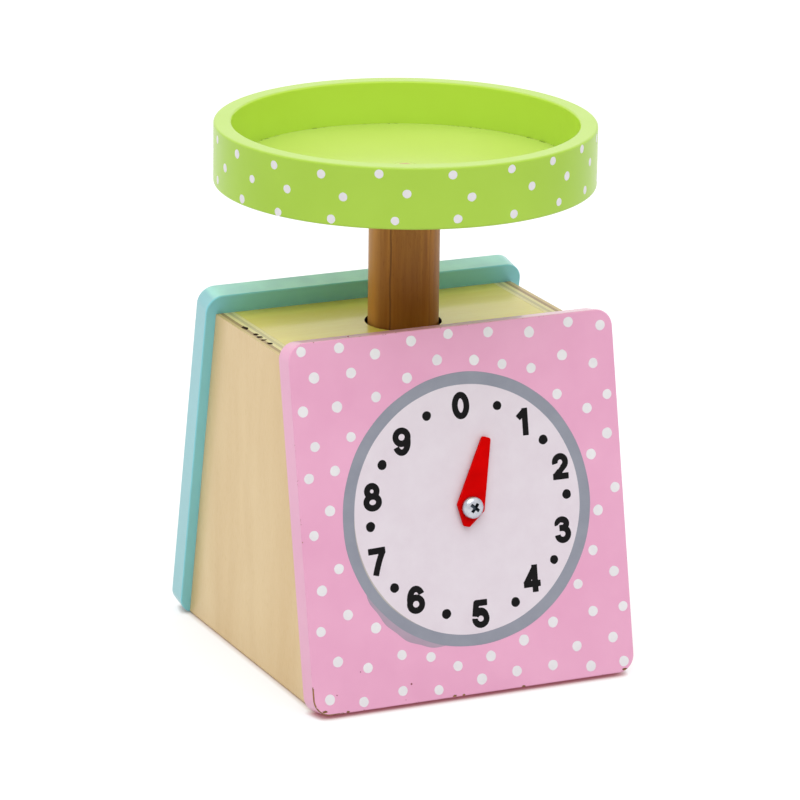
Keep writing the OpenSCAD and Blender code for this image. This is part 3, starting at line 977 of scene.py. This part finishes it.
def surface_hit(piece, u, v):
    """Point and normal where a pixel falls on a piece; a pixel just outside it moves towards the middle."""
    bpy.context.view_layer.update()
    tree = BVHTree.FromObject(piece, bpy.context.evaluated_depsgraph_get())
    middle = PHOTO_PX / 2
    for k in range(PIXEL_TRIES):
        share = PIXEL_STEP * k
        ray = photo_ray(u + (middle - u) * share, v + (middle - v) * share)
        hit, normal, _, _ = tree.ray_cast(camera_at, ray)
        if hit:
            return hit, normal
    raise ValueError(f"no part of {piece.name} near pixel {u}, {v}")


def make_boards():
    chips = chipped_wood()
    front = make_board("front_board", on_front, pink_paint(), "pink_paint")
    dice = random.Random(CHIP_SEED)
    shapes = []
    for u, v, length in CHIP_PIXELS:
        hit, normal = surface_hit(front, u, v)
        inward = normal.cross(ACROSS).normalized()
        sizes = (length / 2 * MM, CHIP_TALL, CHIP_DEEP)
        shapes.append(blob(hit, (ACROSS, inward, normal), sizes, dice))
    cut_out(front, *joined(shapes), chips)
    smooth(front, 40)
    back = make_board("back_board", on_back, mint_paint(), "mint_paint")
    smooth(back, 40)


# Plywood box
GRAIN_UP = (9, 9, 45)
GRAIN_ACROSS = (60, 4, 4)
HOLE_R = 13.6 * MM
TOP_LACQUER = 0.6
CORE_GAP_WIDE = 1.05 * MM
CORE_GAP_DEEP = 1.4 * MM
CORE_GAP_SEED = 5
ROW_AXES = (ACROSS, Vector((0, 1, 0)), Vector((0, 0, 1)))


def make_box():
    sides = plywood("birch_sides", 0, SIDE_IN, SIDE_OUT, GRAIN_UP)
    gap = core_gap()
    left = fresh_copy("left_side", "left_side_ply", sides)
    dice = random.Random(CORE_GAP_SEED)
    shapes = []
    for u, v, length in CORE_GAP_PIXELS:
        ray = photo_ray(u, v)
        hit = camera_at + ray * ((BOX_TOP - camera_at.z) / ray.z)
        centre = Vector((hit.x, hit.y, BOX_TOP))
        sizes = (CORE_GAP_WIDE, length / 2 * MM, CORE_GAP_DEEP)
        shapes.append(blob(centre, ROW_AXES, sizes, dice))
    cut_out(left, *joined(shapes), gap)
    smooth(left, 30)
    nodes["right_side"].data.materials[0] = sides
    low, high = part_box("bottom_board")
    nodes["bottom_board"].data.materials[0] = plywood("birch_bottom", 2, low.z, high.z, GRAIN_ACROSS)
    low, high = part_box("top_board")
    # The top board's colours are partly painted green-yellow light from the tray above
    nodes["top_board"].data.materials[0] = plywood(
        "birch_top", 2, low.z, high.z, GRAIN_ACROSS, LACQUER_AND_PAINTED_BOUNCE, TOP_LACQUER, HOLE_R
    )


# Print on the front board
DIAL_STEPS = 180
BAND_STEPS = 60
# How far the dial's rings reach under the print inside them
PRINT_LAP = 1 * MM


def film(name, points, faces, thickness, material):
    """A closed film on the front board: its top at the thickness, walls, and its underside in the paint."""
    edges = {(a, b) for face in faces for a, b in zip(face, face[1:] + face[:1])}
    rim = [(a, b) for a, b in sorted(edges) if (b, a) not in edges]
    count = len(points)
    vertices = [on_front(x, y, thickness) for x, y in points]
    vertices += [on_front(x, y, -FILM_SINK) for x, y in points]
    walls = [(b, a, a + count, b + count) for a, b in rim]
    unders = [[index + count for index in reversed(face)] for face in faces]
    add_piece(name, vertices, faces + walls + unders, material, "housing", "pink_paint")


def on_dial(radius, angle):
    """Place on the board at a radius and clockwise angle from the dial's top; it is a little narrow."""
    return DIAL_X + radius * DIAL_WIDE * sin(angle), DIAL_UP + radius * DIAL_TALL * cos(angle)


def band(inner, outer, start, end, steps):
    """Points and faces from a radius to one that depends on the clockwise angle from the dial's top."""
    closed = end - start >= tau - 1e-6
    columns = steps if closed else steps + 1
    points = []
    for k in range(columns):
        angle = start + (end - start) * k / steps
        points += [on_dial(inner, angle), on_dial(outer(angle), angle)]
    faces = []
    for k in range(steps):
        a, b = 2 * k, 2 * ((k + 1) % columns)
        faces.append([b, b + 1, a + 1, a])
    return points, faces


def drop(centre, radius, place, thickness, dice, sides=22):
    """A dot of paint: a slightly uneven disc with a rounded rim."""
    lobes = [(n, dice.uniform(0.005, 0.02), dice.uniform(0, tau)) for n in (2, 3, 5)]
    rings = [(0.86, thickness), (0.95, thickness * 0.8), (1.0, thickness * 0.3), (1.0, -FILM_SINK)]
    vertices = []
    for share, out in rings:
        for side in range(sides):
            turn = tau * side / sides
            uneven = 1 + sum(size * sin(n * turn + phase) for n, size, phase in lobes)
            reach = radius * share * uneven
            vertices.append(place(centre[0] + reach * cos(turn), centre[1] + reach * sin(turn), out))
    return vertices, tube_faces(len(rings), sides)


def oval(x, y, rx, ry, start=0, end=360, steps=40):
    """Points along an ellipse, in degrees anticlockwise from the right."""
    angles = [radians(start + (end - start) * k / steps) for k in range(steps + 1)]
    return [(x + rx * cos(a), y + ry * sin(a)) for a in angles]


def bend(first, pull, last, steps=16):
    """Points along a quadratic curve."""
    points = []
    for k in range(steps + 1):
        t = k / steps
        weights = ((1 - t) ** 2, 2 * t * (1 - t), t * t)
        points.append(tuple(sum(w * end for w, end in zip(weights, ends)) for ends in zip(first, pull, last)))
    return points


SIX = [oval(-0.1, -1.45, 2.3, 2.25), oval(0.1, 0, 2.4, 3.85, 30, 200)]
# Strokes of the numerals, in millimetres from the numeral's middle
STROKES = {
    0: [oval(0, 0, 2.2, 3.65)],
    1: [[(0.75, 4.7), (0.75, -4.9)], [(0.75, 3.75), (-1.95, 1.35)]],
    2: [oval(0.05, 1.55, 2.0, 2.05, 194, -35) + [(-1.9, -3.2)], [(-2.95, -3.4), (3.1, -3.4)]],
    3: [
        oval(-0.15, 2.05, 1.75, 1.5, 195, -85),
        [(-1.2, 0.6), (0.3, 0.6)],
        oval(0.05, -1.55, 2.05, 2.1, 95, -175),
    ],
    4: [[(1.1, 4.8), (1.1, -4.85)], [(1.15, 3.8), (-2.5, -1.85)], [(-3.3, -1.9), (3.2, -1.85)]],
    5: [
        [(2.6, 3.75), (-1.6, 3.8), (-2.3, -0.85)],
        oval(-0.2, -1.45, 2.1, 2.45, 150, 0),
        oval(-0.2, -1.75, 2.2, 2.15, 150, -100),
        oval(-0.2, -1.75, 2.2, 2.15, -80, -187),
    ],
    6: SIX,
    7: [[(-3.1, 3.5), (3.35, 3.7)], bend((2.5, 3.6), (0.65, 0.3), (-0.75, -4.9))],
    8: [oval(-0.15, 1.95, 1.8, 1.8), oval(-0.1, -1.85, 2.35, 2.05)],
    9: [[(-x, -y) for x, y in stroke] for stroke in SIX],
}
GLYPH_CELL = 0.2
GLYPH_HALF_W = 3.8
GLYPH_HALF_H = 5.2


def stroke_field(stroke, grid):
    """Distance from each grid point to the edge of a stroke with square ends, below zero inside."""
    path = np.array(stroke)
    starts, ends = path[:-1], path[1:]
    runs = ends - starts
    lengths = np.maximum((runs ** 2).sum(1), 1e-9)
    offsets = grid[:, :, None, :] - starts
    along = np.clip((offsets * runs).sum(-1) / lengths, 0, 1)
    away = np.linalg.norm(offsets - along[..., None] * runs, axis=-1).min(-1)
    field = away - NUMERAL_STROKE_R
    if np.linalg.norm(path[0] - path[-1]) > NUMERAL_STROKE_R:
        for end, before in ((path[0], path[1]), (path[-1], path[-2])):
            out = (end - before) / np.linalg.norm(end - before)
            past = ((grid - end) * out).sum(-1)
            near = np.linalg.norm(grid - end, axis=-1) < 1.8 * NUMERAL_STROKE_R
            field = np.where(near, np.maximum(field, past), field)
    return field


def cells_below_zero(field, xs, ys):
    """Points and faces of the part of a grid where the field is below zero, cut along its zero line."""
    points, faces, known = [], [], {}

    def index(key, place):
        if key not in known:
            known[key] = len(points)
            points.append(place)
        return known[key]

    for i in range(len(xs) - 1):
        for j in range(len(ys) - 1):
            ring = [(i, j), (i + 1, j), (i + 1, j + 1), (i, j + 1)]
            face = []
            for a, b in zip(ring, ring[1:] + ring[:1]):
                va, vb = field[a], field[b]
                if va < 0:
                    face.append(index((a,), (xs[a[0]], ys[a[1]])))
                if (va < 0) != (vb < 0):
                    t = va / (va - vb)
                    place = (xs[a[0]] + (xs[b[0]] - xs[a[0]]) * t, ys[a[1]] + (ys[b[1]] - ys[a[1]]) * t)
                    face.append(index((min(a, b), max(a, b)), place))
            if len(face) > 2:
                faces.append(face)
    return points, faces


def make_numerals(ink):
    xs = np.arange(-GLYPH_HALF_W, GLYPH_HALF_W + GLYPH_CELL, GLYPH_CELL)
    ys = np.arange(-GLYPH_HALF_H, GLYPH_HALF_H + GLYPH_CELL, GLYPH_CELL)
    grid = np.stack(np.meshgrid(xs, ys, indexing="ij"), axis=-1)
    for number, (u, v) in enumerate(NUMERAL_PIXELS):
        x, up = front_place(u, v)
        field = np.min([stroke_field(stroke, grid) for stroke in STROKES[number]], axis=0)
        # A grid point that falls on the outline is moved off it, so that no face gets two equal corners
        field = np.where(np.abs(field) < 1e-3, 1e-3, field)
        points, faces = cells_below_zero(field, xs, ys)
        points = [(x + px * MM, up + py * MM) for px, py in points]
        film(f"numeral_{number}", points, faces, INK_FILM, ink)


def make_dots(name, centres, radius, top, material, seed, place=on_front, body="housing", slot="pink_paint"):
    """Dots of paint as one piece, each a little different."""
    dice = random.Random(seed)
    shapes = [drop(c, radius * dice.uniform(0.94, 1.06), place, top, dice) for c in centres]
    smooth(add_piece(name, *joined(shapes), material, body, slot), 50)


def ripple(angle):
    """Small unevenness of a printed edge, in metres."""
    waves = 0.10 * sin(3 * angle + 0.6) + 0.07 * sin(7 * angle + 2) + 0.04 * sin(17 * angle)
    return waves * MM


def make_dial():
    ring = print_film("ring_print", RING_GREY)
    face = print_film("face_print", FACE_WHITE)
    ink = print_film("ink_print", INK, 0.5, 0.1)
    second = print_film("second_print", OVERPRINT)
    bare = print_film("bare_line", LINE_BEIGE)

    def ring_reach(angle):
        return DIAL_RING_R + ripple(angle)

    ring_band = band(DIAL_FACE_R - PRINT_LAP, ring_reach, 0, tau, DIAL_STEPS)
    film("dial_ring", *ring_band, RING_FILM, ring)
    angles = [-tau * k / DIAL_STEPS for k in range(DIAL_STEPS)]
    disc = [on_dial(DIAL_FACE_R + 0.5 * ripple(angle + 1), angle) for angle in angles]
    film("dial_face", disc, [list(range(DIAL_STEPS))], FACE_FILM, face)

    end, start = (dial_angle(u, v) for u, v in OVERPRINT_PIXELS)

    def second_reach(angle):
        share = (angle - start) / (end - start)
        swell = sin(pi * min(max(share, 0), 1)) ** 0.6
        if swell <= 0.02:
            return DIAL_RING_R
        return DIAL_RING_R + (2.2 * swell + 0.3 * sin(9 * angle) + 0.2 * sin(31 * angle)) * MM

    second_band = band(DIAL_RING_R - PRINT_LAP, second_reach, start, end, BAND_STEPS)
    film("dial_second_print", *second_band, OVERPRINT_FILM, second)

    low, high = sorted(dial_angle(u, v) for u, v in LINE_PIXELS)

    def line_reach(angle):
        share = (angle - low) / (high - low)
        return DIAL_FACE_R + (0.45 * sin(pi * share) + 0.02) * MM

    line_band = band(DIAL_FACE_R - PRINT_LAP, line_reach, low, high, BAND_STEPS)
    film("dial_bare_line", *line_band, LINE_FILM, bare)

    make_numerals(ink)
    centres = [front_place(u, v) for u, v in DIAL_DOT_PIXELS]
    make_dots("dial_dots", centres, DIAL_DOT_R, INK_FILM, ink, seed=3)


def on_tray(along, height, out=0.0):
    """A point on the tray's outer wall: metres round it, height, and how far out."""
    angle = along / TRAY_R
    reach = TRAY_R + out
    return Vector((reach * cos(angle), reach * sin(angle), height))


def make_all_dots():
    """Dots where the photograph shows them, and on round the tray's far side at the same spacing."""
    white = print_film("dot_print", DOT_WHITE)
    centres = [front_place(u, v) for u, v in FRONT_DOT_PIXELS]
    make_dots("front_dots", centres, FRONT_DOT_R, DOT_FILM, white, seed=21)

    dirt = print_film("paint_speck", SPECK)
    for number, (u, v, radius) in enumerate(SPECK_PIXELS):
        make_dots(f"front_speck_{number}", [front_place(u, v)], radius * MM, DOT_FILM, dirt, seed=number)

    dice = random.Random(TRAY_DOT_SEED)
    places = []
    for row in TRAY_DOT_PIXELS:
        seen = [tray_place(u, v) for u, v in row]
        places.extend(seen)
        angles = [angle for angle, _ in seen]
        first = min(angles)
        last = max(angles)
        height = sum(z for _, z in seen) / len(seen)
        step = (last - first) / (len(seen) - 1)
        more = round((tau - (last - first)) / step) - 1
        gap = (tau - (last - first)) / (more + 1)
        for k in range(more):
            angle = last + gap * (k + 1) + radians(dice.uniform(-2, 2))
            places.append((angle, height + dice.uniform(-0.8, 0.8) * MM))
    centres = [(angle * TRAY_R, z) for angle, z in places]
    make_dots("tray_dots", centres, TRAY_DOT_R, DOT_FILM, white, 22, on_tray, "tray", "green_paint")


# Pointer, screw and spring
POINTER_TIP = 24.8 * MM
POINTER_TAIL = 6.9 * MM
POINTER_WIDTHS = (3 * MM, 10.4 * MM, 3.5 * MM)
POINTER_CORNER_R = 1 * MM
POINTER_EDGE_R = 0.3 * MM
POINTER_T = 1.5 * MM
POINTER_ANGLE = radians(18)
POINTER_HOLE_R = 2.15 * MM
POINTER_HOLE_SIDES = 40
HOLE_LOW = -4 * MM
HOLE_HIGH = 6 * MM


def on_pivot(x, y, out=0.0):
    return PIVOT + ACROSS * x + UPHILL * y + FACE_OUT * out


def turned_point(x, y, angle):
    """A point turned anticlockwise about the origin."""
    return x * cos(angle) - y * sin(angle), x * sin(angle) + y * cos(angle)


def node_reach(node):
    """Lowest and highest distance of a node out from the front board's face."""
    reaches = [(v.co - PIVOT).dot(FACE_OUT) for v in nodes[node].data.vertices]
    return min(reaches), max(reaches)


def make_pointer():
    face = node_reach("pointer")[1]
    tail = -POINTER_TAIL + POINTER_CORNER_R
    tip = POINTER_TIP - POINTER_CORNER_R
    half = [width / 2 - POINTER_CORNER_R for width in POINTER_WIDTHS]
    core = [(-half[0], tail), (half[0], tail), (half[1], 0), (half[2], tip), (-half[2], tip), (-half[1], 0)]

    def place(x, y, out):
        return on_pivot(*turned_point(x, y, -POINTER_ANGLE), face + out)

    red = red_plastic()
    plate = rounded_plate([Vector(p) for p in core], POINTER_CORNER_R, POINTER_EDGE_R, POINTER_T, place)
    piece = add_piece("pointer_rounded", *plate, red, "pointer", "red_plastic")
    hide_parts("pointer")
    hole = [(0, HOLE_LOW), (POINTER_HOLE_R, HOLE_LOW), (POINTER_HOLE_R, HOLE_HIGH), (0, HOLE_HIGH)]
    cut_out(piece, *revolve(hole, POINTER_HOLE_SIDES, on_pivot), red)
    smooth(piece, 40)


HEAD_R = 3.9 * MM
HEAD_H = 3 * MM
HEAD_WALL = 0.95 * MM
HEAD_ARRIS = 0.2 * MM
HEAD_SIDES = 64
DOME_STEPS = 12
DOME_POWER = 0.8
SHANK_R = 2 * MM
SHANK_TIP_R = 1.6 * MM
SHANK_TAPER = 0.5 * MM
# Cross recess: its arms and half widths at the bottom and above the head
RECESS_LOW = (1.05 * MM, 0.434 * MM)
RECESS_HIGH = (2.52 * MM, 0.682 * MM)
RECESS_DEPTH = 1.7 * MM
RECESS_ABOVE = 1 * MM
RECESS_TURN = radians(50)


def make_screw(zinc):
    """Pan head screw with a tapered cross recess and a rounded rim."""
    low, high = node_reach("pointer_screw")
    under = high - HEAD_H
    profile = [(0, low), (SHANK_TIP_R, low), (SHANK_R, low + SHANK_TAPER), (SHANK_R, under)]
    profile += [(HEAD_R - HEAD_ARRIS, under), (HEAD_R, under + HEAD_ARRIS), (HEAD_R, under + HEAD_WALL)]
    for k in range(DOME_STEPS):
        angle = radians(90 * (k + 0.5) / (DOME_STEPS + 0.5))
        rise = HEAD_WALL + (HEAD_H - HEAD_WALL) * sin(angle)
        profile.append((HEAD_R * cos(angle) ** DOME_POWER, under + rise))
    profile.append((0, high))
    shape = revolve(profile, HEAD_SIDES, on_pivot)
    piece = add_piece("pointer_screw_cross", *shape, zinc, "housing", "zinc_steel")
    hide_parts("pointer_screw")

    def cross(arm, half, out):
        points = []
        for quarter in range(4):
            turn = RECESS_TURN + radians(90 * quarter)
            for x, y in ((half, half), (half, arm), (-half, arm)):
                points.append(on_pivot(*turned_point(x, y, turn), out))
        return points

    upper = cross(*RECESS_HIGH, high + RECESS_ABOVE)
    lower = cross(*RECESS_LOW, high - RECESS_DEPTH)
    cut_out(piece, upper + lower, tube_faces(2, len(upper)), dull_steel())
    smooth(piece, 35)


SPRING_TURNS = 9
WIRE_R = 0.65 * MM
WIRE_SIDES = 12
TURN_STEPS = 40


def make_spring(zinc):
    """Round wire helix."""
    low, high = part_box("spring")
    radius = high.x - WIRE_R
    bottom = low.z + WIRE_R
    top = high.z - WIRE_R
    count = SPRING_TURNS * TURN_STEPS
    vertices = []
    for i in range(count + 1):
        turn = tau * i / TURN_STEPS
        middle = bottom + (top - bottom) * i / count
        for k in range(WIRE_SIDES):
            round_wire = tau * k / WIRE_SIDES
            reach = radius + WIRE_R * cos(round_wire)
            z = middle + WIRE_R * sin(round_wire)
            vertices.append((reach * cos(turn), reach * sin(turn), z))
    faces = tube_faces(count + 1, WIRE_SIDES)
    piece = add_piece("spring_coil", vertices, faces, zinc, "housing", "zinc_steel")
    smooth(piece, 60)
    bake_modifiers(piece)
    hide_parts("spring")
    travel = joints["tray_press"]["range_m"][1] - joints["tray_press"]["range_m"][0]
    length = high.z - low.z
    (length - travel) / length
    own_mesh(piece)


def dress_nodes(zinc):
    """Finishes for the CAD nodes that stay on show."""
    finishes = {
        "green_paint": green_paint(), "stained_wood": stained_wood(), "beech": beech(), "zinc_steel": zinc,
    }
    for node in nodes.values():
        finish = finishes.get(node.data.materials[0].name)
        if finish:
            node.data.materials[0] = finish
    nodes["tray_floor"].data.materials[0] = floor_paint()
    nodes["screw_plug"].data.materials[0] = plug_paint()


bpy.context.scene.view_settings.view_transform = "Standard"
make_camera()
make_world()
make_floor()
make_key()
zinc = zinc_steel()
make_box()
make_boards()
dress_nodes(zinc)
make_dial()
make_all_dots()
make_pointer()
make_screw(zinc)
make_spring(zinc)
